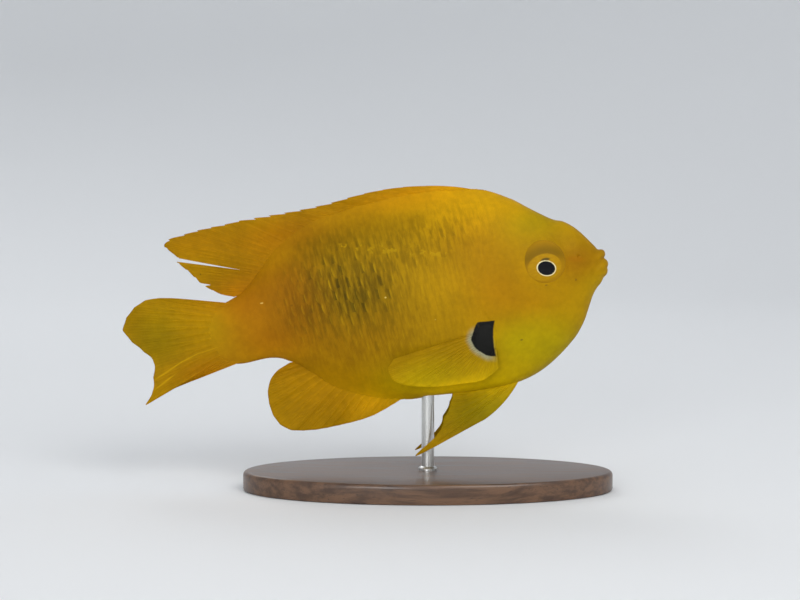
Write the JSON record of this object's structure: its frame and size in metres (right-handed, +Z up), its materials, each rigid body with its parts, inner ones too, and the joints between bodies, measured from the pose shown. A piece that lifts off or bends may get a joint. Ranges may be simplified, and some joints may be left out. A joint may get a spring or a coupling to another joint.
{
  "type": "sulphur damselfish display model",
  "caption": "Life-size yellow damselfish with raised fins, swimming nose up, held over a flat oval base by a short rod.",
  "frame": {"origin": "centre of the base's underside, on the floor under the rod", "axes": "+X the way the fish faces, along the base's long side, +Y to the fish's left, +Z up"},
  "size_m": [0.1011, 0.038, 0.0624],
  "materials": {
    "fish_skin": "satin, scaled",
    "fin_membrane": "satin, ribbed by rays",
    "eye": "polished",
    "stand_wood": "satin lacquer",
    "stand_steel": "brushed"
  },
  "bodies": {
    "root": {"head": "fish_skin", "trunk": "fish_skin", "tail_stem": "fish_skin", "dorsal_fin": "fin_membrane", "anal_fin": "fin_membrane", "caudal_fin": "fin_membrane", "pectoral_fin_right": "fin_membrane", "pectoral_fin_left": "fin_membrane", "pelvic_fin_right": "fin_membrane", "pelvic_fin_left": "fin_membrane", "eye_right": "eye", "eye_left": "eye", "stand_base": "stand_wood", "stand_rod": "stand_steel"}
  },
  "joints": []
}
